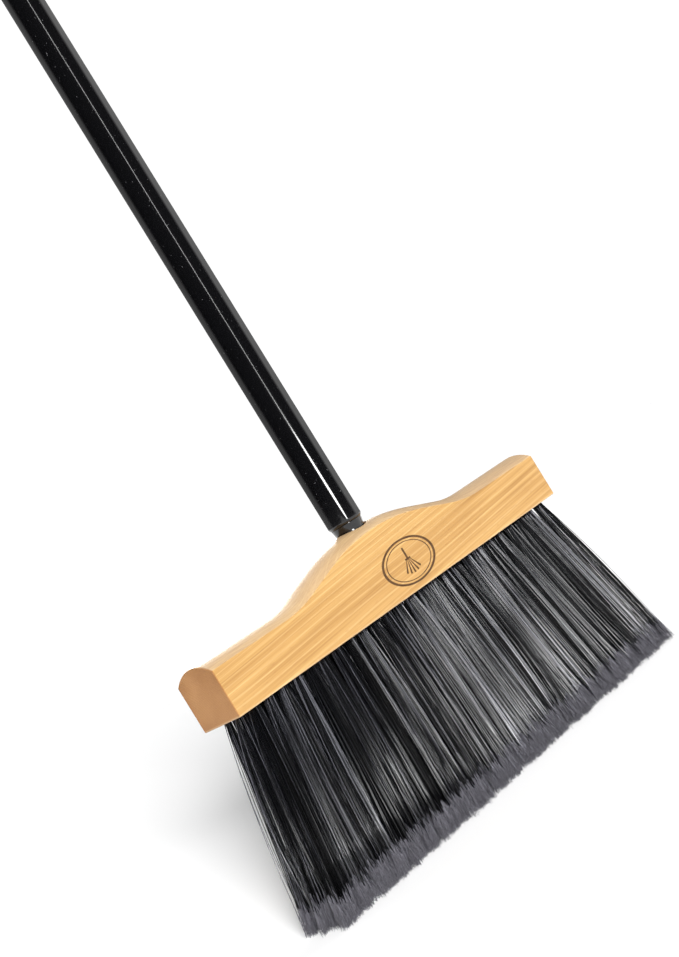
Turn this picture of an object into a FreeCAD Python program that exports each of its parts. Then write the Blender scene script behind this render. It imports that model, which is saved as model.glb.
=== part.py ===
import FreeCAD, Part
import math
import os
import Sketcher

# Upright broom: a wooden head set with rows of bristle tufts, and a steel handle screwed into it.
# Frame: X runs along the head, -Y is the front, +Z runs up the handle.
# Z = 0 is the plane of the bristle tips and the handle's axis is X = Y = 0.

# Driving dimensions in millimetres. They fill the spreadsheet, and every feature reads them from there.
# Heights of the block are above the underside of the head. Those of the tube, curl, tip and thread are above
# the tube's lower end, and those of the plug, stem and hanger are above its upper end.
SIZES = {
    "bristle_length": 140.0,       # free length of the filaments, which is also the height of the underside
    "half_length": 169.0,          # half the length of the head
    "half_depth": 21.3,            # half its depth, front to back
    "block_side": 32.5,            # height of the flat front and back faces at the arms
    "block_arm": 39.6,             # height of the crowned ridge at the arms
    "block_boss": 58.4,            # height of the ridge at the middle
    "crown_radius": 35.5,          # the crown's arc across the depth
    "skirt": 24.0,                 # how far the swept section reaches below the underside before the trim
    "arm_end": 102.5,              # where the arms start to rise, from the middle
    "slope_low_x": 74.2,           # the straight slope's lower end
    "slope_low_z": 43.7,
    "slope_high_x": 48.0,          # the straight slope's upper end
    "slope_high_z": 51.5,
    "hollow_radius": 98.2,         # the hollow between arm and slope
    "boss_radius": 167.6,          # the round top of the boss
    "edge_round": 0.9,             # sanding of the head's outer edges
    "waste_margin": 1.0,           # how far the trim runs past the head's ends
    "tuft_hole_radius": 3.7,
    "tuft_hole_depth": 14.0,
    "tuft_pitch": 12.7,            # along a row, at the head
    "tip_pitch": 15.0,             # along a row, at the tips
    "row_pitch": 7.5,              # from row to row, at the head
    "tip_row_pitch": 9.9,          # from row to row, at the tips
    "tuft_radius": 3.6,            # a tuft's root in its hole
    "root_clearance": 0.4,         # between the top of the root and the bottom of the hole
    "tuft_half_width": 3.2,        # a tuft where it leaves the head
    "tip_half_width": 7.2,         # a tuft's tips, along the row
    "tip_half_depth": 4.55,        # a tuft's tips, across the row
    "root_gap": 1.0,               # room above the free length for its lean
    "staple_width": 8.4,           # flat wire that anchors a tuft, a little wider than its hole
    "staple_gauge": 0.5,
    "staple_height": 2.2,
    "staple_rise": 10.6,           # the staple's lower edge above the underside
    "mouth_radius": 12.5,          # the handle's hole at the top of the boss
    "mouth_overrun": 6.0,          # how far the hole's cut runs out above the boss
    "seat_radius": 10.9,           # the same hole at the foot of its taper
    "block_seat": 47.5,            # height of that foot
    "bore_radius": 9.625,          # the threaded length of the hole, 0.1 clear of the thread's crest
    "block_bore": 21.4,            # height of the bottom of the hole
    "tube_foot": 63.0,             # height of the tube's lower end above the underside
    "tube_radius": 12.7,
    "tube_bore": 11.8,
    "tube_length": 1170.0,
    "curl_radius": 3.2,            # the tube's rolled-in lower end, outside
    "curl_bore": 2.3,              # the same, inside
    "curl_rise": 2.45,             # how far the curl's centre is above the lower end
    "curl_lip": 11.557,            # radius of the lip's outer edge
    "curl_lip_bore": 10.978,
    "curl_lip_rise": 0.689,
    "tip_spigot_radius": 11.72,    # the threaded tip, inside the tube
    "tip_spigot_top": 30.0,
    "tip_throat_radius": 10.85,    # where the lip closes round it
    "tip_throat_top": 3.2,
    "tip_collar_radius": 11.5,     # the shoulder just below the lip
    "tip_collar_rise": -0.15,
    "tip_neck_radius": 10.55,
    "tip_neck_rise": -5.2,
    "tip_seat_radius": 10.2,
    "tip_seat_rise": -15.0,
    "thread_root": 6.73,           # 3/4 inch, five threads to the inch, trapezoidal
    "thread_crest": 9.525,
    "thread_pitch": 5.08,
    "thread_half_crest": 0.94,
    "thread_half_root": 1.66,
    "thread_bite": 0.3,            # how deep the thread's foot is sunk in the core
    "thread_start": -38.6,         # centre of the first turn
    "thread_height": 21.3,
    "tip_end": -41.2,
    "tip_end_radius": 5.6,
    "tip_end_bevel": 1.1,
    "tip_bore_radius": 8.0,
    "tip_bore_floor": -10.0,
    "plug_radius": 11.75,          # the plug in the top of the tube, a running fit
    "plug_depth": 24.0,
    "plug_lead": 1.0,              # the bevel at the plug's lower end, across
    "plug_lead_rise": 1.5,         # the same, upwards
    "plug_flange": 12.7,
    "plug_gap": 0.3,
    "plug_rise": 3.2,
    "plug_dome_radius": 11.0,
    "plug_dome_rise": 4.6,
    "plug_bore": 4.1,
    "stem_radius": 4.0,            # the hanger's stem
    "stem_drop": 28.2,
    "stem_bevel": 0.6,
    "stem_groove_radius": 3.1,
    "stem_groove_low": 26.0,
    "stem_groove_high": 24.5,
    "hanger_foot": 4.9,
    "hanger_foot_top": 8.4,
    "hanger_foot_radius": 9.6,
    "hanger_sink": 1.0,            # how far the loop is sunk in its foot
    "hanger_rise": 19.6,           # centre of the hanging eye above the top of the tube
    "hanger_half_width": 12.4,
    "hanger_eye": 7.5,
    "hanger_half_thick": 3.6,
    "hanger_root": 8.6,
    "hanger_round": 1.2,
    "clip_radius": 6.2,
    "clip_bore": 3.15,
    "clip_gauge": 1.0,
    "clip_drop": 25.75,
}

COLUMNS = {"front": 25, "inner_front": 24, "middle": 25, "inner_back": 24, "back": 25}
MIDDLE_ROW = (len(COLUMNS) - 1) / 2
BUNDLES = 6
TOUCH = 0.01  # edges this near a plane lie in it

doc = FreeCAD.newDocument("push_broom")
sheet = doc.addObject("Spreadsheet::Sheet", "Sizes")
for line_number, (alias, size) in enumerate(SIZES.items(), start=1):
    sheet.set("A%d" % line_number, alias)
    sheet.set("B%d" % line_number, str(size))
    sheet.setAlias("B%d" % line_number, alias)
doc.recompute()


def number(words):
    """Works out a sum of products such as 'block_boss - 2 * edge_round' of dimensions and plain numbers."""
    total = 0.0
    sign = 1.0
    term = None
    for word in words.split():
        if word in ("+", "-"):
            total += sign * (term or 0.0)
            sign = 1.0 if word == "+" else -1.0
            term = None
        elif word != "*":
            size = SIZES[word] if word in SIZES else float(word)
            term = size if term is None else term * size
    return total + sign * term


def formula(words):
    """The same sum as an expression that reads the spreadsheet."""
    return " ".join("Sizes." + word if word in SIZES else word for word in words.split())


def bind(thing, **formulas):
    """Binds properties to expressions; a double underscore stands for a dot in the property's path."""
    for path, words in formulas.items():
        thing.setExpression(path.replace("__", "."), words)


def new_body(label, height="0"):
    """A body whose own origin stands at a height on the handle's axis."""
    body = doc.addObject("PartDesign::Body", label)
    body.Label = label
    bind(body, Placement__Base__z=formula(height))
    return body


def origin_of(body, role):
    return next(item for item in body.Origin.OriginFeatures if item.Role == role)


def new_sketch(body, name, role, offset=None):
    sketch = body.newObject("Sketcher::SketchObject", name)
    sketch.AttachmentSupport = [(origin_of(body, role), "")]
    sketch.MapMode = "FlatFace"
    if offset:
        bind(sketch, AttachmentOffset__Base__z=formula(offset))
    return sketch


def pin_point(sketch, name, geometry, end, across, up):
    """Holds one end of a sketch edge at two named sums, measured from the sketch's origin."""
    for axis, words in (("X", across), ("Y", up)):
        if abs(number(words)) < 1e-9:
            reference = -2 if axis == "X" else -1
            sketch.addConstraint(Sketcher.Constraint("PointOnObject", geometry, end, reference))
            continue
        index = sketch.addConstraint(
            Sketcher.Constraint("Distance" + axis, -1, 1, geometry, end, number(words)))
        sketch.renameConstraint(index, name + axis)
        sketch.setExpression("Constraints." + name + axis, formula(words))


def arc_between(start, end, radius, side):
    """The short arc between two points; side 1 has its centre to the left of the way from start to end."""
    chord = end - start
    to_centre = FreeCAD.Vector(-chord.y, chord.x, 0).normalize() * side
    centre = start + chord / 2 + to_centre * math.sqrt(radius ** 2 - (chord.Length / 2) ** 2)
    first, last = (start, end) if side > 0 else (end, start)
    angles = [math.atan2(spot.y - centre.y, spot.x - centre.x) for spot in (first, last)]
    circle = Part.Circle(centre, FreeCAD.Vector(0, 0, 1), radius)
    return Part.ArcOfCircle(circle, angles[0], angles[1])


def draw(body, name, role, points, arcs=None, closed=True, offset=None):
    """A sketch of lines and arcs through named points; arcs maps an edge's number to (radius, side)."""
    arcs = arcs or {}
    sketch = new_sketch(body, name, role, offset)
    spots = [FreeCAD.Vector(number(across), number(up), 0) for across, up in points]
    count = len(points) if closed else len(points) - 1
    ends = []
    for edge in range(count):
        start = spots[edge]
        end = spots[(edge + 1) % len(points)]
        if edge in arcs:
            words, side = arcs[edge]
            sketch.addGeometry(arc_between(start, end, number(words), side), False)
            ends.append((1, 2) if side > 0 else (2, 1))
        else:
            sketch.addGeometry(Part.LineSegment(start, end), False)
            ends.append((1, 2))
    for edge in range(count):
        after = (edge + 1) % count
        if closed or after:
            sketch.addConstraint(
                Sketcher.Constraint("Coincident", edge, ends[edge][1], after, ends[after][0]))
        pin_point(sketch, "corner%d" % edge, edge, ends[edge][0], *points[edge])
        if edge in arcs:
            index = sketch.addConstraint(Sketcher.Constraint("Radius", edge, number(arcs[edge][0])))
            sketch.renameConstraint(index, "radius%d" % edge)
            sketch.setExpression("Constraints.radius%d" % edge, formula(arcs[edge][0]))
    if not closed:
        pin_point(sketch, "corner%d" % count, count - 1, ends[-1][1], *points[-1])
    return sketch


def feature(body, kind, name, profile, **settings):
    """A PartDesign feature on a profile sketch, with its settings given by name."""
    item = body.newObject("PartDesign::" + kind, name)
    item.Profile = (profile, [""])
    for setting, value in settings.items():
        setattr(item, setting, value)
    profile.Visibility = False
    return item


def turned(body, name, points, arcs=None, cut=False):
    """A solid, or a hollow, turned about the body's Z axis from half its section."""
    section = draw(body, name + "_section", "XZ_Plane", points, arcs)
    kind = "Groove" if cut else "Revolution"
    return feature(body, kind, name, section, ReferenceAxis=(origin_of(body, "Z_Axis"), [""]), Angle=360.0)


def outer_edges(shape):
    """The sharp outer edges of the undrilled head: those in its four side planes."""
    names = []
    for index, edge in enumerate(shape.Edges, start=1):
        box = edge.BoundBox
        at_end = min(abs(box.XMin), abs(box.XMax)) > SIZES["half_length"] - TOUCH and box.XLength < TOUCH
        at_side = min(abs(box.YMin), abs(box.YMax)) > SIZES["half_depth"] - TOUCH and box.YLength < TOUCH
        if at_end or at_side:
            names.append("Edge%d" % index)
    return names


def loop_edges(shape):
    """The edges of the hanger's two flat faces."""
    names = []
    for index, edge in enumerate(shape.Edges, start=1):
        box = edge.BoundBox
        if box.YLength < TOUCH and abs(abs(box.YMin) - SIZES["hanger_half_thick"]) < TOUCH:
            names.append("Edge%d" % index)
    return names


def ring_of(body, name, role, across, up, radius, offset=None):
    """A sketch of one circle, placed and sized from the spreadsheet."""
    sketch = new_sketch(body, name, role, offset)
    centre = FreeCAD.Vector(number(across), number(up), 0)
    sketch.addGeometry(Part.Circle(centre, FreeCAD.Vector(0, 0, 1), number(radius)), False)
    pin_point(sketch, "centre", 0, 3, across, up)
    index = sketch.addConstraint(Sketcher.Constraint("Radius", 0, number(radius)))
    sketch.renameConstraint(index, "radius")
    sketch.setExpression("Constraints.radius", formula(radius))
    return sketch


def compound(label, pieces):
    group = doc.addObject("Part::Compound", label)
    group.Label = label
    group.Links = pieces
    return group


# The head: a crowned section swept along the ridge line, trimmed flat underneath, sanded, then drilled.
block = new_body("broom_block", "bristle_length")
ridge_points = [("- half_length", "block_arm"), ("- arm_end", "block_arm"),
                ("- slope_low_x", "slope_low_z"), ("- slope_high_x", "slope_high_z"),
                ("slope_high_x", "slope_high_z"), ("slope_low_x", "slope_low_z"),
                ("arm_end", "block_arm"), ("half_length", "block_arm")]
ridge_arcs = {1: ("hollow_radius", 1), 3: ("boss_radius", -1), 5: ("hollow_radius", 1)}
ridge = draw(block, "ridge_line", "XZ_Plane", ridge_points, ridge_arcs, closed=False)
section_points = [("half_depth", "- skirt"), ("half_depth", "block_side"),
                  ("- half_depth", "block_side"), ("- half_depth", "- skirt")]
section = draw(block, "crowned_section", "YZ_Plane", section_points, {1: ("crown_radius", 1)},
               offset="- half_length")
feature(block, "AdditivePipe", "crowned_bar", section, Spine=(ridge, [""]), Mode="Fixed")

waste_points = [("- half_length - waste_margin", "0"),
                ("- half_length - waste_margin", "- skirt - waste_margin"),
                ("half_length + waste_margin", "- skirt - waste_margin"),
                ("half_length + waste_margin", "0")]
waste = draw(block, "waste_below", "XZ_Plane", waste_points)
bar = feature(block, "Pocket", "flat_underside", waste, Type="ThroughAll", Midplane=True)
doc.recompute()

sanded = block.newObject("PartDesign::Fillet", "sanded_edges")
sanded.Base = (bar, outer_edges(bar.Shape))
bind(sanded, Radius=formula("edge_round"))

hole_points = [("0", "block_boss + mouth_overrun"), ("0", "block_bore"), ("bore_radius", "block_bore"),
               ("bore_radius", "block_seat"), ("seat_radius", "block_seat"),
               ("mouth_radius", "block_boss"), ("mouth_radius", "block_boss + mouth_overrun")]
turned(block, "handle_hole", hole_points, cut=True)

for row, (row_name, columns) in enumerate(COLUMNS.items()):
    first = "%g * tuft_pitch" % ((1 - columns) / 2)
    line = "%g * row_pitch" % (row - MIDDLE_ROW)
    spot = ring_of(block, "first_hole_" + row_name, "XY_Plane", first, line, "tuft_hole_radius")
    drilled = feature(block, "Pocket", "drilled_" + row_name, spot, Reversed=True)
    bind(drilled, Length=formula("tuft_hole_depth"))
    repeated = block.newObject("PartDesign::LinearPattern", "row_of_holes_" + row_name)
    repeated.Originals = [drilled]
    repeated.Direction = (origin_of(block, "X_Axis"), [""])
    repeated.Occurrences = columns
    bind(repeated, Length=formula("%d * tuft_pitch" % (columns - 1)))
    block.Tip = repeated
nodes = [block]

# The tufts: each has its doubled root in a hole, a flat staple across the fold, and its free length,
# which is a tapered block from the hole's mouth to the area its tips spread over. The wedge's own Y runs
# up and its own Z runs towards the front. A bundle is a few neighbouring tufts.
for row, (row_name, columns) in enumerate(COLUMNS.items()):
    line = row - MIDDLE_ROW
    staples = []
    roots = []
    tufts = []
    for column in range(columns):
        step = column - (columns - 1) / 2
        tag = "%s_%02d" % (row_name, column + 1)

        staple = doc.addObject("Part::Box", "staple_" + tag)
        bind(staple, Length=formula("staple_width"), Width=formula("staple_gauge"),
             Height=formula("staple_height"),
             Placement__Base__x=formula("%g * tuft_pitch - 0.5 * staple_width" % step),
             Placement__Base__y=formula("%g * row_pitch - 0.5 * staple_gauge" % line),
             Placement__Base__z=formula("bristle_length + staple_rise"))
        staples.append(staple)

        root = doc.addObject("Part::Cylinder", "root_" + tag)
        bind(root, Radius=formula("tuft_radius"), Height=formula("tuft_hole_depth - root_clearance"),
             Placement__Base__x=formula("%g * tuft_pitch" % step),
             Placement__Base__y=formula("%g * row_pitch" % line),
             Placement__Base__z=formula("bristle_length"))
        roots.append(root)

        tuft = doc.addObject("Part::Wedge", "tuft_" + tag)
        tuft.Placement.Rotation = FreeCAD.Rotation(FreeCAD.Vector(1, 0, 0), 90)
        bind(tuft, Ymin="0", Ymax=formula("bristle_length - root_gap"),
             Xmin=formula("%g * tip_pitch - tip_half_width" % step),
             Xmax=formula("%g * tip_pitch + tip_half_width" % step),
             Zmin=formula("%g * tip_row_pitch - tip_half_depth" % -line),
             Zmax=formula("%g * tip_row_pitch + tip_half_depth" % -line),
             X2min=formula("%g * tuft_pitch - tuft_half_width" % step),
             X2max=formula("%g * tuft_pitch + tuft_half_width" % step),
             Z2min=formula("%g * row_pitch - tuft_half_width" % -line),
             Z2max=formula("%g * row_pitch + tuft_half_width" % -line))
        tufts.append(tuft)

    staple_row = compound("staples_" + row_name, staples)
    root_row = doc.addObject("Part::Cut", "tuft_roots_" + row_name)
    root_row.Label = "tuft_roots_" + row_name
    root_row.Base = compound("root_cores_" + row_name, roots)
    root_row.Tool = staple_row
    nodes += [staple_row, root_row]
    for bundle in range(BUNDLES):
        first = round(bundle * columns / BUNDLES)
        last = round((bundle + 1) * columns / BUNDLES)
        nodes.append(compound("tufts_%s_%d" % (row_name, bundle + 1), tufts[first:last]))

# The handle: a steel tube with its lower end rolled in round the shoulder of a threaded tip.
FOOT = "bristle_length + tube_foot"
tube = new_body("handle_tube", FOOT)
tube_points = [("curl_lip", "0"), ("tube_radius", "curl_rise"), ("tube_radius", "tube_length"),
               ("tube_bore", "tube_length"), ("tube_bore", "curl_rise"), ("curl_lip_bore", "curl_lip_rise")]
turned(tube, "drawn_tube", tube_points, {0: ("curl_radius", 1), 4: ("curl_bore", -1)})

tip = new_body("threaded_tip", FOOT)
tip_points = [("0", "tip_end"), ("tip_end_radius", "tip_end"), ("thread_root", "tip_end + tip_end_bevel"),
              ("thread_root", "tip_seat_rise"), ("tip_seat_radius", "tip_seat_rise"),
              ("tip_neck_radius", "tip_neck_rise"), ("tip_collar_radius", "tip_collar_rise"),
              ("tip_throat_radius", "tip_collar_rise"), ("tip_throat_radius", "tip_throat_top"),
              ("tip_spigot_radius", "tip_throat_top"), ("tip_spigot_radius", "tip_spigot_top"),
              ("tip_bore_radius", "tip_spigot_top"), ("tip_bore_radius", "tip_bore_floor"),
              ("0", "tip_bore_floor")]
turned(tip, "tip_core", tip_points)
thread_points = [("thread_root - thread_bite", "thread_start - thread_half_root"),
                 ("thread_crest", "thread_start - thread_half_crest"),
                 ("thread_crest", "thread_start + thread_half_crest"),
                 ("thread_root - thread_bite", "thread_start + thread_half_root")]
thread_section = draw(tip, "thread_section", "XZ_Plane", thread_points)
thread = feature(tip, "AdditiveHelix", "screw_thread", thread_section,
                 ReferenceAxis=(origin_of(tip, "Z_Axis"), [""]), Mode=0)
bind(thread, Pitch=formula("thread_pitch"), Height=formula("thread_height"))

# The swivel hang-up cap in the top of the tube: a plug, a hanger whose stem turns in it, and a clip.
TOP = "bristle_length + tube_foot + tube_length"
plug = new_body("cap_plug", TOP)
plug_points = [("plug_bore", "- plug_depth"), ("plug_radius - plug_lead", "- plug_depth"),
               ("plug_radius", "- plug_depth + plug_lead_rise"), ("plug_radius", "plug_gap"),
               ("plug_flange", "plug_gap"), ("plug_flange", "plug_rise"),
               ("plug_dome_radius", "plug_dome_rise"), ("plug_bore", "plug_dome_rise")]
turned(plug, "moulded_plug", plug_points)

hanger = new_body("hanger", TOP)
loop_points = [("- hanger_root", "hanger_foot + hanger_sink"), ("hanger_root", "hanger_foot + hanger_sink"),
               ("hanger_half_width", "hanger_rise"), ("0", "hanger_rise + hanger_half_width"),
               ("- hanger_half_width", "hanger_rise")]
loop_arcs = {2: ("hanger_half_width", 1), 3: ("hanger_half_width", 1)}
loop = feature(hanger, "Pad", "flat_loop", draw(hanger, "loop_outline", "XZ_Plane", loop_points, loop_arcs),
               Midplane=True)
bind(loop, Length=formula("2 * hanger_half_thick"))
eye = ring_of(hanger, "eye_outline", "XZ_Plane", "0", "hanger_rise", "hanger_eye")
holed = feature(hanger, "Pocket", "hanging_eye", eye, Type="ThroughAll", Midplane=True)
doc.recompute()
softened = hanger.newObject("PartDesign::Fillet", "softened_loop")
softened.Base = (holed, loop_edges(holed.Shape))
bind(softened, Radius=formula("hanger_round"))
stem_points = [("0", "- stem_drop"), ("stem_radius - stem_bevel", "- stem_drop"),
               ("stem_radius", "- stem_drop + stem_bevel"), ("stem_radius", "- stem_groove_low"),
               ("stem_groove_radius", "- stem_groove_low"), ("stem_groove_radius", "- stem_groove_high"),
               ("stem_radius", "- stem_groove_high"), ("stem_radius", "hanger_foot"),
               ("hanger_foot_radius", "hanger_foot"), ("hanger_foot_radius", "hanger_foot_top"),
               ("0", "hanger_foot_top")]
turned(hanger, "stem_and_foot", stem_points)

clip = doc.addObject("Part::Cut", "stem_clip")
clip.Label = "stem_clip"
clip.Base = doc.addObject("Part::Cylinder", "clip_disc")
clip.Tool = doc.addObject("Part::Cylinder", "clip_hole")
for disc, radius in ((clip.Base, "clip_radius"), (clip.Tool, "clip_bore")):
    bind(disc, Radius=formula(radius), Height=formula("clip_gauge"))
bind(clip, Placement__Base__z=formula(TOP + " - clip_drop"))
nodes += [tube, tip, plug, hanger, clip]

doc.recompute()
for item in doc.Objects:
    if "Invalid" in item.State or "Error" in item.State:
        raise SystemExit("%s failed: %s" % (item.Label, item.State))
for node in nodes:
    if node.Shape.isNull() or not node.Shape.isValid():
        raise SystemExit("%s has no valid shape" % node.Label)

os.makedirs("parts", exist_ok=True)
for node in nodes:
    node.Shape.exportStep("parts/%s.step" % node.Label)
    print("%-26s %8.0f mm3, %d solids" % (node.Label, node.Shape.Volume, len(node.Shape.Solids)))
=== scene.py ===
import math

import bpy
import numpy as np
from mathutils import Matrix, Vector


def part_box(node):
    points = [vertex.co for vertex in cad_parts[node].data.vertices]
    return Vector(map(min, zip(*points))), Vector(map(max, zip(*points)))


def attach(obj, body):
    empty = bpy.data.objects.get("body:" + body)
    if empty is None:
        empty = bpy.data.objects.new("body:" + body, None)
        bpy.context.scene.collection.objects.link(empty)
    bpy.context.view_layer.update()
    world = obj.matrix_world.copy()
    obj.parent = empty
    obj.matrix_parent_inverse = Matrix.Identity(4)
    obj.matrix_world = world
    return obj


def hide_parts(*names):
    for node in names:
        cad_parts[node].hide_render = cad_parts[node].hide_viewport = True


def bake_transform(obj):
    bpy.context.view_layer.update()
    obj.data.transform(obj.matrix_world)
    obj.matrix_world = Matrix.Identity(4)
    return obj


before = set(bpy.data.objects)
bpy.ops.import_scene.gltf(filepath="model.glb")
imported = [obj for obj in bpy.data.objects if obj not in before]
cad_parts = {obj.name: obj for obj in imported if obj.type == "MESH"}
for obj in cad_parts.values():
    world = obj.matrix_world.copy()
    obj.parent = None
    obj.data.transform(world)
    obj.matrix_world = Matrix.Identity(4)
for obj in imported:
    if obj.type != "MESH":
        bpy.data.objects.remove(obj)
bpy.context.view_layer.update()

# Upright broom: a lacquered beech head, five rows of black flagged filaments and a black steel handle.
# Metres. X runs along the head, -Y is the front, +Z runs up the handle, and the tips stand on Z = 0.

MM = 0.001
ROWS = {"front": 25, "inner_front": 24, "middle": 25, "inner_back": 24, "back": 25}  # tufts in each row
OUTER_ROWS = ("front", "back")
BUNDLES = 6

block_low, block_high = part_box("broom_block")
UNDERSIDE = block_low.z
TUFT_RADIUS = 3.6 * MM
TOWARDS_EYE = Vector((-0.651, -0.759, 0.0))     # level, from the broom to where the camera stands
TO_THE_RIGHT = Vector((0.759, -0.651, 0.0))


# Materials -------------------------------------------------------------------------------------------------

class Value:
    """A number that varies over a surface. Arithmetic on it adds Math nodes to its material."""

    def __init__(self, finish, socket):
        self.finish = finish
        self.socket = socket

    def maths(self, operation, *values):
        return self.finish.maths(operation, *values)

    def __add__(self, other):
        return self.maths("ADD", self, other)

    def __sub__(self, other):
        return self.maths("SUBTRACT", self, other)

    def __rsub__(self, other):
        return self.maths("SUBTRACT", other, self)

    def __mul__(self, other):
        return self.maths("MULTIPLY", self, other)

    def __pow__(self, other):
        return self.maths("POWER", self, other)

    def __abs__(self):
        return self.maths("ABSOLUTE", self)

    __radd__ = __add__
    __rmul__ = __mul__

    def most(self, other):
        return self.maths("MAXIMUM", self, other)


class Finish:
    """A material, or the surround, made one node at a time."""

    def __init__(self, name, shelf=bpy.data.materials):
        self.material = shelf.new(name)
        self.material.use_nodes = True
        self.nodes = self.material.node_tree.nodes
        self.nodes.clear()

    def node(self, kind, settings=None, inputs=None, out=0):
        """Adds a node: its settings first, then the values or links of its sockets. Returns one output."""
        node = self.nodes.new("ShaderNode" + kind)
        for name, setting in (settings or {}).items():
            if name == "stops":
                self.set_stops(node.color_ramp, setting)
            else:
                setattr(node, name, setting)
        for name, value in (inputs or {}).items():
            if isinstance(value, Value):
                self.material.node_tree.links.new(value.socket, node.inputs[name])
            else:
                node.inputs[name].default_value = value
        return Value(self, node.outputs[out]) if node.outputs else None

    def maths(self, operation, *values):
        return self.node("Math", {"operation": operation}, dict(enumerate(values)))

    @staticmethod
    def set_stops(ramp, stops):
        while len(ramp.elements) < len(stops):
            ramp.elements.new(1.0)
        for element, (position, colour) in zip(ramp.elements, stops):
            element.position = position
            element.color = (*colour, 1.0)

    def place(self, scale=(1.0, 1.0, 1.0), own=None):
        """The object's own coordinates, or others, stretched."""
        own = own or self.node("TexCoord", out=3)
        return self.node("Mapping", {}, {"Vector": own, "Scale": scale})

    def noise(self, where, scale, detail=2.0, roughness=0.5):
        return self.node("TexNoise", {}, {"Vector": where, "Scale": scale, "Detail": detail,
                                          "Roughness": roughness})

    def step(self, value, low, high):
        """0 below low, 1 above high, with a smooth rise between."""
        return self.node("MapRange", {"interpolation_type": "SMOOTHSTEP"},
                         {"Value": value, "From Min": low, "From Max": high})

    def mix(self, share, first, second, blend="MIX"):
        """A colour between two colours."""
        first, second = (c if isinstance(c, Value) else (*c, 1.0) for c in (first, second))
        return self.node("Mix", {"data_type": "RGBA", "blend_type": blend},
                         {0: share, 6: first, 7: second}, out=2)

    def bump(self, height, distance, strength):
        return self.node("Bump", {}, {"Height": height, "Distance": distance, "Strength": strength})

    def axes(self, vector):
        """The three numbers of a vector."""
        return [self.node("SeparateXYZ", {}, {"Vector": vector}, out=axis) for axis in range(3)]

    def surface(self, **inputs):
        """Closes the material with a Principled shader; an underscore stands for a space."""
        named = {name.replace("_", " "): value for name, value in inputs.items()}
        shader = self.node("BsdfPrincipled", {}, named)
        self.node("OutputMaterial", {}, {"Surface": shader})
        return self.material


def burnt_mark(wood, x, y, z):
    """A plain mark burnt into the front: a little broom in a double oval. 1 where the wood is burnt."""
    left = x - MARK_PLACE[0]
    rise = z - MARK_PLACE[1]
    reach = ((left * (1.0 / MARK_HALF[0])) ** 2.0 + (rise * (1.0 / MARK_HALF[1])) ** 2.0) ** 0.5
    outer_ring = 1.0 - wood.step(abs(reach - 1.0), 0.030, 0.060)
    inner_ring = 1.0 - wood.step(abs(reach - 0.86), 0.008, 0.030)

    drop = MARK_KNOT - rise
    fan_reach = (left ** 2.0 + drop ** 2.0) ** 0.5
    turn = wood.maths("ARCTAN2", left, drop)
    rays = wood.step(wood.maths("COSINE", turn * 22.0), -0.1, 0.35)
    fan = rays * (1.0 - wood.step(abs(turn), 0.66, 0.72))
    fan = fan * (1.0 - wood.step(abs(fan_reach - 8.2 * MM), 4.6 * MM, 5.0 * MM))
    stick = 1.0 - wood.step(abs(left), 0.7 * MM, 1.1 * MM)
    stick = stick * (1.0 - wood.step(abs(drop + 1.2 * MM), 4.4 * MM, 4.8 * MM))
    bar = 1.0 - wood.step(abs(left), 2.6 * MM, 3.0 * MM)
    bar = bar * (1.0 - wood.step(abs(drop - 2.4 * MM), 0.5 * MM, 0.8 * MM))
    mark = outer_ring.most(inner_ring).most(fan).most(stick).most(bar)
    return mark * (1.0 - wood.step(y, -0.018, -0.016))


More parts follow.
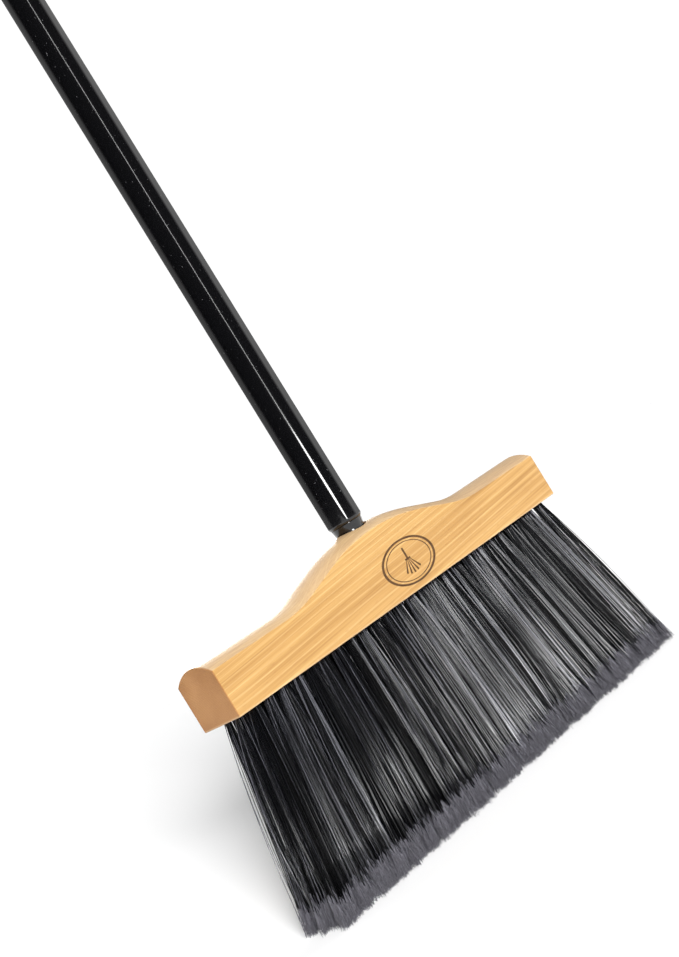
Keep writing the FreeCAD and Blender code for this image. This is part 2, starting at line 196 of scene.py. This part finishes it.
def beech():
    """Satin-lacquered beech: pale growth lines, long fine streaks, darker end grain, a painted sheen that
    lightens the upward-facing crown and a painted highlight along the lower edge.
    """
    wood = Finish("lacquered_beech")
    x, y, z = wood.axes(wood.node("TexCoord", out=3))
    normal_x, _, normal_z = wood.axes(wood.node("NewGeometry", out=1))
    level = z - x * GRAIN_SLOPE
    along = wood.node("CombineXYZ", {}, {0: x, 1: y, 2: level})
    drift = wood.noise(wood.place((2.5, 16.0, 16.0), along), 1.0, 2.0) - 0.5
    radius = ((y - PITH[0]) ** 2.0 + (level - PITH[1]) ** 2.0) ** 0.5 + drift * 0.012
    year = wood.maths("COSINE", radius * (2.0 * math.pi / YEAR))
    lines = wood.step(year, 0.68, 1.0)
    bands = wood.noise(wood.place((5.0, 260.0, 260.0), along), 1.0, 3.0, 0.6)
    streaks = wood.noise(wood.place((9.0, 1100.0, 1100.0), along), 1.0, 3.0, 0.65)
    pores = wood.noise(wood.place((38.0, 2800.0, 2800.0), along), 1.0, 1.0)
    flecks = wood.step(wood.noise(wood.place((150.0, 1100.0, 900.0), along), 1.0, 0.0), 0.74, 0.80)
    clouds = wood.noise(wood.place((6.0, 26.0, 26.0), along), 1.0, 2.0)

    across = wood.step(abs(normal_x), 0.10, 0.70)
    face = wood.node("ValToRGB", {"stops": [(0.38, (0.33, 0.172, 0.050)), (0.50, (0.43, 0.242, 0.078)),
                                            (0.62, (0.52, 0.318, 0.115))]},
                     {"Fac": bands * 0.34 + streaks * 0.36 + clouds * 0.30})
    face = wood.mix(lines * (0.08 + clouds * 0.36), face, (0.66, 0.46, 0.21))
    end = wood.node("ValToRGB", {"stops": [(0.36, (0.27, 0.115, 0.034)), (0.52, (0.38, 0.180, 0.060)),
                                           (0.68, (0.48, 0.250, 0.098))]},
                    {"Fac": pores * 0.40 + clouds * 0.60})
    end = wood.mix(lines * pores * 0.62, end, (0.22, 0.086, 0.025))
    colour = wood.mix(across, face, end)
    # Painted sheen: upward-facing surfaces are mixed towards a pale colour in place of the lacquer's reflection
    # of light from above.
    painted_sheen = wood.step(normal_z, 0.20, 0.95)
    colour = wood.mix(painted_sheen * 0.32, colour, (0.56, 0.46, 0.34))
    colour = wood.mix(flecks * (1.0 - across) * 0.20, colour, (0.30, 0.14, 0.045))
    colour = wood.mix(wood.step(pores, 0.58, 0.74) * 0.18, colour, (0.30, 0.14, 0.045))
    # Painted highlight: a thin pale band on the sides just above the underside, in place of light catching the
    # lower edge.
    rub_wear_and_painted_highlight = 1.0 - wood.step(z, UNDERSIDE + 0.5 * MM, UNDERSIDE + 1.6 * MM)
    rub_wear_and_painted_highlight = rub_wear_and_painted_highlight * wood.step(normal_z, -0.95, -0.80)
    colour = wood.mix(rub_wear_and_painted_highlight * (0.20 + streaks * 0.4), colour, (0.72, 0.52, 0.30))
    burnt = burnt_mark(wood, x, y, z)
    colour = wood.mix(burnt * (0.76 + streaks * 0.4), colour, (0.060, 0.026, 0.009))
    grain = streaks * 0.6 - lines * 0.4 - burnt * 0.9
    return wood.surface(Base_Color=colour, Roughness=0.36 + pores * 0.14 + across * 0.10 + burnt * 0.3,
                        Coat_Weight=0.35 - across * 0.10 - burnt * 0.1, Coat_Roughness=0.22,
                        Specular_IOR_Level=0.40, Normal=wood.bump(grain - flecks * 0.3, 0.00012, 0.6))


def filament_black():
    """Extruded filament: black under a waxy skin that is glossier on some filaments than on others."""
    fibre = Finish("filament_black")
    tone = fibre.node("Attribute", {"attribute_name": "tone"}, out=2)
    dust = fibre.noise(fibre.place((900.0, 900.0, 60.0)), 1.0, 2.0)
    colour = fibre.mix(fibre.step(tone, 0.15, 0.80), (0.0006, 0.0006, 0.0008), (0.0045, 0.0046, 0.0060))
    colour = fibre.mix(fibre.step(tone, 0.78, 0.98), colour, (0.060, 0.060, 0.070))
    colour = fibre.mix(fibre.step(dust, 0.60, 0.85) * 0.06, colour, (0.05, 0.05, 0.06))
    return fibre.surface(Base_Color=colour, Roughness=0.24 + dust * 0.16, Specular_IOR_Level=0.06,
                         Coat_Weight=fibre.step(tone, 0.36, 0.74) * (0.80 + dust * 0.3), Coat_IOR=1.8,
                         Coat_Roughness=0.13, Normal=fibre.bump(dust, 0.00004, 0.4))


def filament_flag():
    """The split ends of the filaments, which scatter light and look grey."""
    fibre = Finish("filament_flag")
    tone = fibre.node("Attribute", {"attribute_name": "tone"}, out=2)
    dust = fibre.noise(fibre.place((700.0, 700.0, 300.0)), 1.0, 2.0)
    colour = fibre.mix(tone * 0.7 + dust * 0.4, (0.045, 0.043, 0.053), (0.22, 0.215, 0.245))
    return fibre.surface(Base_Color=colour, Roughness=0.46 + dust * 0.2, Specular_IOR_Level=0.5,
                         Normal=fibre.bump(dust, 0.00004, 0.5))


def black_enamel():
    """Gloss black coating on steel, with a faint orange peel and a few specks of dust."""
    paint = Finish("black_enamel")
    peel = paint.noise(paint.place((260.0, 260.0, 120.0)), 1.0, 2.0)
    specks = paint.step(paint.noise(paint.place((900.0, 900.0, 900.0)), 1.0, 0.0), 0.81, 0.86)
    rub_wear_and_painted_highlight = paint.noise(paint.place((30.0, 30.0, 4.0)), 1.0, 3.0)
    colour = paint.mix(specks * 0.4, (0.0020, 0.0020, 0.0024), (0.14, 0.14, 0.145))
    return paint.surface(Base_Color=colour, Roughness=0.09 + rub_wear_and_painted_highlight * 0.08 + specks * 0.3,
                         Specular_IOR_Level=0.3, Coat_Weight=0.9, Coat_Roughness=0.035,
                         Normal=paint.bump(peel, 0.00004, 0.12))


def moulded_black():
    """Semi-gloss moulded plastic with a fine spark texture and scuffs."""
    plastic = Finish("moulded_black")
    spark = plastic.noise(plastic.place(), 2600.0, 1.0)
    scuff = plastic.step(plastic.noise(plastic.place((120.0, 120.0, 420.0)), 1.0, 4.0), 0.52, 0.72)
    colour = plastic.mix(scuff * 0.4, (0.010, 0.010, 0.011), (0.045, 0.045, 0.048))
    return plastic.surface(Base_Color=colour, Roughness=0.34 + spark * 0.12 + scuff * 0.1,
                           Specular_IOR_Level=0.5, Normal=plastic.bump(spark, 0.00006, 0.4))


def galvanised_wire():
    """Drawn and galvanised steel: bright, with drawing lines and dull patches."""
    steel = Finish("galvanised_wire")
    lines = steel.noise(steel.place((300.0, 5000.0, 5000.0)), 1.0, 2.0)
    dull = steel.noise(steel.place(), 600.0, 3.0)
    colour = steel.mix(dull, (0.62, 0.62, 0.64), (0.42, 0.43, 0.45))
    return steel.surface(Base_Color=colour, Metallic=1.0, Roughness=0.24 + dull * 0.22,
                         Normal=steel.bump(lines, 0.00003, 0.5))


def white_floor():
    paper = Finish("white_floor")
    grain = paper.noise(paper.place(), 900.0, 2.0)
    colour = paper.mix(grain, (0.90, 0.90, 0.90), (0.93, 0.93, 0.93))
    return paper.surface(Base_Color=colour, Roughness=0.9, Specular_IOR_Level=0.1)


GRAIN_SLOPE = 0.075                     # how the grain climbs along the head
PITH = (0.105, 0.100)                   # y and z of the tree's heart, past the back of the head
YEAR = 1.9 * MM                         # between growth lines
MARK_PLACE = (0.012, 0.1600)            # x and z of the burnt mark's middle
MARK_HALF = (25.0 * MM, 15.0 * MM)
MARK_KNOT = 4.0 * MM                    # where its little broom's fan starts, above the middle

BEECH = beech()
FILAMENT = filament_black()
FLAG = filament_flag()
ENAMEL = black_enamel()
PLASTIC = moulded_black()
WIRE = galvanised_wire()


# Meshes ----------------------------------------------------------------------------------------------------

def new_piece(name, points, faces, finish, smooth=True):
    """A mesh object from points and faces."""
    mesh = bpy.data.meshes.new(name)
    mesh.from_pydata(points, [], faces)
    mesh.polygons.foreach_set("use_smooth", [smooth] * len(mesh.polygons))
    mesh.materials.append(finish)
    piece = bpy.data.objects.new(name, mesh)
    bpy.context.scene.collection.objects.link(piece)
    return piece


def turned_piece(name, profile, finish, around=96):
    """A closed ring section turned about the Z axis."""
    angles = np.linspace(0.0, 2.0 * math.pi, around, endpoint=False)
    section = np.array(profile)
    points = np.stack([np.outer(np.cos(angles), section[:, 0]), np.outer(np.sin(angles), section[:, 0]),
                       np.tile(section[:, 1], (around, 1))], axis=2).reshape(-1, 3)
    count = len(section)
    faces = []
    for turn in range(around):
        here = turn * count
        there = (turn + 1) % around * count
        for step in range(count):
            after = (step + 1) % count
            faces.append((here + step, there + step, there + after, here + after))
    return new_piece(name, points.tolist(), faces, finish)


def strand_mesh(name, paths, radii, tones, finish, sides=4):
    """Closed thin tubes in one mesh. paths is strands x points x 3, radii is strands x points."""
    strands, count = paths.shape[:2]
    along = np.gradient(paths, axis=1)
    along /= np.linalg.norm(along, axis=2, keepdims=True)
    side = np.cross(along, np.array([0.0, 1.0, 0.0]))
    side /= np.linalg.norm(side, axis=2, keepdims=True)
    other = np.cross(along, side)
    turn = np.arange(sides) * 2.0 * math.pi / sides
    ring = side[:, :, None] * np.cos(turn)[:, None] + other[:, :, None] * np.sin(turn)[:, None]
    points = (paths[:, :, None] + ring * radii[:, :, None, None]).reshape(-1, 3)

    corner = np.arange(sides)
    rung = np.arange(count - 1)[:, None] * sides
    quads = np.stack([rung + corner, rung + (corner + 1) % sides,
                      rung + sides + (corner + 1) % sides, rung + sides + corner], axis=2).reshape(-1, 4)
    first = np.arange(strands) * count * sides
    walls = (first[:, None, None] + quads).reshape(-1, 4)
    caps = np.concatenate([first[:, None] + corner[::-1], first[:, None] + (count - 1) * sides + corner])

    mesh = bpy.data.meshes.new(name)
    mesh.vertices.add(len(points))
    mesh.vertices.foreach_set("co", points.astype(np.float32).ravel())
    corners = np.concatenate([walls.ravel(), caps.ravel()])
    sizes = np.concatenate([np.full(len(walls), 4), np.full(len(caps), sides)])
    mesh.loops.add(len(corners))
    mesh.loops.foreach_set("vertex_index", corners.astype(np.int32))
    mesh.polygons.add(len(sizes))
    mesh.polygons.foreach_set("loop_start", np.concatenate([[0], np.cumsum(sizes)[:-1]]).astype(np.int32))
    mesh.polygons.foreach_set("use_smooth", np.ones(len(sizes), bool))
    shade = mesh.attributes.new("tone", "FLOAT", "POINT")
    shade.data.foreach_set("value", np.repeat(tones, count * sides).astype(np.float32))
    mesh.update(calc_edges=True)
    mesh.validate()
    mesh.materials.append(finish)
    piece = bpy.data.objects.new(name, mesh)
    bpy.context.scene.collection.objects.link(piece)
    return piece


# The handle ------------------------------------------------------------------------------------------------

def handle_shell():
    """The enamelled tube, with its lower end rolled in over the shoulder of the threaded tip."""
    low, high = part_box("handle_tube")
    radius = high.x
    wall = 0.9 * MM
    curl = 3.2 * MM
    rise = 2.45 * MM
    lip_angle = math.radians(50.0)
    centre = radius - curl
    bend = np.linspace(-lip_angle, 0.0, 9)
    outer = [(centre + curl * math.cos(a), low.z + rise + curl * math.sin(a)) for a in bend]
    inner = [(centre + (curl - wall) * math.cos(a), low.z + rise + (curl - wall) * math.sin(a)) for a in bend]
    heights = np.linspace(low.z + rise, high.z, 40)[1:]
    outer += [(radius, height) for height in heights]
    inner += [(radius - wall, height) for height in heights]
    shell = turned_piece("enamelled_tube", outer + inner[::-1], ENAMEL)
    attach(shell, "handle")
    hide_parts("handle_tube")


handle_shell()


# The filaments ---------------------------------------------------------------------------------------------

FILAMENTS = 112            # in a tuft
CLUMPS = 8                 # a tuft's filaments hang together in these
FILAMENT_RADIUS = 0.27 * MM
ROOT_DEPTH = 2.0 * MM      # how far a filament's start is inside its hole
FLAG_LENGTH = 17.0 * MM    # the split ends
FIBRILS = 4                # a filament splits into these
LEFT_TIP = -0.181          # the tips fan from here ...
RIGHT_TIP = 0.194          # ... to here
TIP_DEPTH = 5.4 * MM       # half of what a tuft's tips cover from front to back
STRAYS = 3                 # filaments that bow out of each row's first tuft
SHAFT_POINTS = 10
FIBRIL_POINTS = 4
FIRST_SEED = 11            # of the front row; the others count up from it
TIP_CLEARANCE = 0.3 * MM   # the longest filament's tip above the floor
OUTER_OPENING = 0.60       # how late a tuft opens out on its way down: a lower power opens sooner
INNER_OPENING = 0.30


def tuft_places(columns, row):
    """Where a row's tufts stand at the head and where the middles of their tips are."""
    roots_low, roots_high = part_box("tuft_roots_" + row)
    half = (roots_high.x - roots_low.x) / 2 - TUFT_RADIUS
    tips_low = min(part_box("tufts_%s_%d" % (row, bundle + 1))[0].y for bundle in range(BUNDLES))
    tips_high = max(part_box("tufts_%s_%d" % (row, bundle + 1))[1].y for bundle in range(BUNDLES))
    line = (roots_low.y + roots_high.y) / 2
    tip_line = (tips_low + tips_high) / 2
    step = (RIGHT_TIP - LEFT_TIP) / max(ROWS.values())
    middle = (RIGHT_TIP + LEFT_TIP) / 2
    heads = np.linspace(-half, half, columns)
    tips = middle + (np.arange(columns) - (columns - 1) / 2) * step
    return heads, tips, line, tip_line, step


def disc_points(rng, count, radius):
    spread = radius * np.sqrt(rng.random(count))
    angle = 2.0 * math.pi * rng.random(count)
    return np.stack([spread * np.cos(angle), spread * np.sin(angle)], axis=1)


def tuft_strands(rng, head_x, line, tip_x, tip_line, step, strays, opening):
    """The filaments of one tuft: where each starts, ends and how it bows on the way."""
    start = disc_points(rng, FILAMENTS, TUFT_RADIUS * 0.94)
    centres = disc_points(rng, CLUMPS, TUFT_RADIUS)
    clump = np.argmin(((start[:, None] - centres) ** 2).sum(axis=2), axis=1)
    # A filament ends near its clump, and a clump at the tuft's rim ends at the rim of its area.
    kick = rng.normal(0.0, 0.20, (CLUMPS, 2))[clump]
    outward = start / TUFT_RADIUS * 0.55 + centres[clump] / TUFT_RADIUS * 0.45 + kick
    outward = outward + rng.normal(0.0, 0.13, (FILAMENTS, 2))
    ends = outward * np.array([step * 0.60, TIP_DEPTH])
    share = np.linspace(0.0, 1.0, SHAFT_POINTS) ** 1.5
    flare = (share ** opening)[None, :, None]
    eased = (0.90 * share + 0.10 * share ** 2)[None, :, None]
    middle = np.array([head_x, line]) * (1 - eased) + np.array([tip_x, tip_line]) * eased
    flat = middle + start[:, None] * (1 - flare) + ends[:, None] * flare
    wave = np.sin(math.pi * share)[None, :, None]
    bow = rng.normal(0.0, 0.35 * MM, (FILAMENTS, 2)) + rng.normal(0.0, 0.9 * MM, (CLUMPS, 2))[clump]
    bow = bow + rng.normal(0.0, 0.8 * MM, 2)
    loose = np.argsort(start[:, 0])[:strays]
    bow[loose, 0] = -rng.uniform(3.0, 7.5, strays) * MM
    ripple = np.sin(share[None, :, None] * rng.uniform(5.0, 11.0, (FILAMENTS, 1, 1))
                    + rng.uniform(0.0, 6.3, (FILAMENTS, 1, 1)))
    flat = flat + wave * bow[:, None] + ripple * wave * rng.normal(0.0, 0.14 * MM, (FILAMENTS, 1, 2))
    top = UNDERSIDE + ROOT_DEPTH
    drop = np.full((FILAMENTS, 1), FLAG_LENGTH) + rng.normal(0.0, 3.0 * MM, (FILAMENTS, 1))
    trim = np.abs(rng.normal(0.0, 1.1 * MM, (FILAMENTS, 1))) + TIP_CLEARANCE
    height = top - (top - trim - drop) * share[None]
    paths = np.concatenate([flat, height[:, :, None]], axis=2)
    tones = rng.normal(0.50, 0.08) + rng.normal(0.0, 0.16, CLUMPS)[clump] + rng.normal(0.0, 0.28, FILAMENTS)
    return paths, trim[:, 0], np.clip(tones, 0.0, 1.0)


def fibril_paths(rng, paths, trim):
    """Each filament's split end: a few fine wavy fibrils from its last point down to the trim."""
    last = paths[:, -1]
    before = paths[:, -2]
    slope = (last - before) / (before[:, 2] - last[:, 2])[:, None]
    strands = len(paths)
    share = np.linspace(0.0, 1.0, FIBRIL_POINTS)
    every = []
    for _ in range(FIBRILS):
        fall = (last[:, 2] - trim) * rng.uniform(0.80, 1.0, strands)
        spread = rng.normal(0.0, 1.0 * MM, (strands, 2))
        curl = rng.normal(0.0, 0.45 * MM, (strands, FIBRIL_POINTS, 2)) * (share > 0)[None, :, None]
        flat = last[:, None, :2] + slope[:, None, :2] * (fall[:, None] * share[None])[:, :, None]
        flat = flat + spread[:, None] * (share ** 1.3)[None, :, None] + curl
        height = last[:, None, 2] + 0.4 * MM * (1 - share)[None] - fall[:, None] * share[None]
        every.append(np.concatenate([flat, height[:, :, None]], axis=2))
    return np.concatenate(every)


def bristle_row(row, columns, seed):
    heads, tips, line, tip_line, step = tuft_places(columns, row)
    opening = OUTER_OPENING if row in OUTER_ROWS else INNER_OPENING
    rng = np.random.default_rng(seed)
    for bundle in range(BUNDLES):
        first = round(bundle * columns / BUNDLES)
        last = round((bundle + 1) * columns / BUNDLES)
        shafts, trims, tones = [], [], []
        for column in range(first, last):
            strays = STRAYS if column == 0 else 0
            paths, trim, tone = tuft_strands(rng, heads[column], line, tips[column], tip_line, step,
                                             strays, opening)
            shafts.append(paths)
            trims.append(trim)
            tones.append(tone)
        paths = np.concatenate(shafts)
        trim = np.concatenate(trims)
        tone = np.concatenate(tones)
        taper = np.ones((len(paths), SHAFT_POINTS)) * FILAMENT_RADIUS
        shaft = strand_mesh("filaments_%s_%d" % (row, bundle + 1), paths, taper, tone, FILAMENT)
        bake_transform(shaft)
        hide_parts("tufts_%s_%d" % (row, bundle + 1))

        fibrils = fibril_paths(rng, paths, trim)
        thin = np.linspace(0.62, 0.34, FIBRIL_POINTS) * FILAMENT_RADIUS
        fine = np.tile(thin, (len(fibrils), 1))
        flag = strand_mesh("flagged_ends_%s_%d" % (row, bundle + 1), fibrils, fine,
                           rng.random(len(fibrils)), FLAG, sides=3)
        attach(flag, "bristles_" + row)


for seed, (row_name, column_count) in enumerate(ROWS.items(), start=FIRST_SEED):
    bristle_row(row_name, column_count, seed)


# Finishes on the carried-over parts --------------------------------------------------------------------------

def refinish(prefix, finish):
    for name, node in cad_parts.items():
        if name.startswith(prefix):
            for slot in node.material_slots:
                slot.link = "OBJECT"
                slot.material = finish


for prefix, finish in (("broom_block", BEECH), ("staples_", WIRE), ("stem_clip", WIRE), ("tuft_roots_", FILAMENT),
                       ("threaded_tip", ENAMEL), ("cap_plug", PLASTIC), ("hanger", PLASTIC)):
    refinish(prefix, finish)


# Floor, light and camera -------------------------------------------------------------------------------------

FLOOR_HALF = 2.6            # small enough that the handle's lower end reflects no far floor


def floor():
    half = FLOOR_HALF
    points = [(-half, -half, 0.0), (half, -half, 0.0), (half, half, 0.0), (-half, half, 0.0)]
    sheet = new_piece("floor", points, [(0, 1, 2, 3)], white_floor(), smooth=False)


def aimed(thing, spot, target):
    thing.location = spot
    thing.rotation_mode = "QUATERNION"
    thing.rotation_quaternion = (Vector(target) - Vector(spot)).to_track_quat("-Z", "Y")
    bpy.context.scene.collection.objects.link(thing)


def hang(name, lamp, spot, target, lit):
    """Puts up a lamp that falls on the lit pieces alone."""
    light = bpy.data.objects.new(name, lamp)
    light.visible_camera = False
    group = bpy.data.collections.new(name + "_pieces")
    for piece in lit:
        group.objects.link(piece)
    light.light_linking.receiver_collection = group
    aimed(light, spot, target)
    return light


def panel(name, spot, target, width, height, power, lit, shape="RECTANGLE"):
    """A soft box."""
    lamp = bpy.data.lights.new(name, "AREA")
    lamp.shape = shape
    lamp.size = width
    lamp.size_y = height
    lamp.energy = power
    hang(name, lamp, spot, target, lit)


def distant(name, spot, power, spread, lit):
    """A wide, distant light that isn't seen in reflections."""
    lamp = bpy.data.lights.new(name, "SUN")
    lamp.energy = power
    lamp.angle = math.radians(spread)
    hang(name, lamp, spot, (0.0, 0.0, 0.0), lit).visible_glossy = False


def sky():
    """White as seen directly. In light and reflections it is dark at the front and bright past the sides."""
    surround = Finish("surround", bpy.data.worlds)
    x, y, _ = surround.axes(surround.node("TexCoord"))
    ahead = x * TOWARDS_EYE.x + y * TOWARDS_EYE.y
    right = x * TO_THE_RIGHT.x + y * TO_THE_RIGHT.y
    glow = surround.node("ValToRGB", {"stops": [(0.44, (0.03,) * 3), (0.60, (0.90,) * 3),
                                                (0.80, (0.50,) * 3), (1.0, (0.12,) * 3)]},
                         {"Fac": 0.5 - ahead * 0.5})
    lit = surround.node("Background", {}, {"Color": glow, "Strength": 0.85 + right * 0.40})
    seen = surround.node("Background", {}, {"Color": (1.0, 1.0, 1.0, 1.0), "Strength": 1.05})
    path = surround.node("LightPath")
    both = surround.node("MixShader", {}, {0: path, 1: lit, 2: seen})
    surround.node("OutputWorld", {}, {"Surface": both})
    bpy.context.scene.world = surround.material


def lights():
    sky()
    meshes = [piece for piece in bpy.data.objects if piece.type == "MESH"]
    ground = [piece for piece in meshes if piece.name == "floor"]
    broom = [piece for piece in meshes if piece.name != "floor"]
    bristles = [piece for piece in meshes if piece.name.startswith("filaments_")]
    wooden = [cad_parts["broom_block"]]
    neck = [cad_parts["threaded_tip"]]
    black = [piece for piece in meshes if piece.name.startswith(("enamelled_tube", "cap_plug", "threaded_tip"))]
    distant("low_front_light", (-0.42, -0.88, 0.36), 5.2, 24.0, broom)
    distant("overhead_light", (-0.15, -0.30, 1.0), 1.05, 100.0, broom)
    distant("back_light", (0.60, 1.00, 0.80), 0.8, 70.0, broom)
    distant("floor_light", (-0.50, -0.866, 0.125), 24.0, 15.0, ground)
    panel("back_box", (0.9, 2.0, 0.9), (0.0, 0.0, 0.15), 1.6, 1.2, 42.0, wooden)
    panel("far_card", (-0.56, -0.70, 0.004), (-0.56, -0.70, 1.0), 1.0, 1.0, 33.0, bristles, "ELLIPSE")
    panel("near_card", (0.10, -0.25, 0.004), (0.10, -0.25, 1.0), 0.50, 0.50, 4.6, bristles, "ELLIPSE")
    panel("tall_strip", (-0.735, -2.083, 1.25), (0.0, 0.0, 1.25), 0.07, 2.2, 6.0, black)
    panel("neck_glint", (-0.40, -1.13, 0.06), (0.0, 0.0, 0.195), 0.30, 0.16, 3.6, neck)
    panel("low_oval", (-0.735, -2.083, 0.22), (0.0, 0.0, 0.22), 0.42, 0.34, 12.0, black, "ELLIPSE")


def camera():
    """Nearly level at the height of the head, to the left of the front, and rolled."""
    azimuth, elevation, roll = math.radians(41.27), math.radians(-0.48), math.radians(-31.67)
    back = Vector((-math.sin(azimuth) * math.cos(elevation), -math.cos(azimuth) * math.cos(elevation),
                   math.sin(elevation)))
    level = Vector((math.cos(azimuth), -math.sin(azimuth), 0.0))
    upright = back.cross(level)
    right = math.cos(roll) * level + math.sin(roll) * upright
    up = -math.sin(roll) * level + math.cos(roll) * upright
    lens = bpy.data.cameras.new("camera")
    lens.lens = 60.32
    lens.sensor_width = 36.0
    lens.clip_start = 0.05
    eye = bpy.data.objects.new("camera", lens)
    eye.matrix_world = (Matrix.Translation((-0.7067, -0.8238, 0.2223))
                        @ Matrix((right, up, back)).transposed().to_4x4())
    bpy.context.scene.collection.objects.link(eye)
    bpy.context.scene.camera = eye


bpy.context.scene.view_settings.view_transform = "Standard"
floor()
lights()
camera()
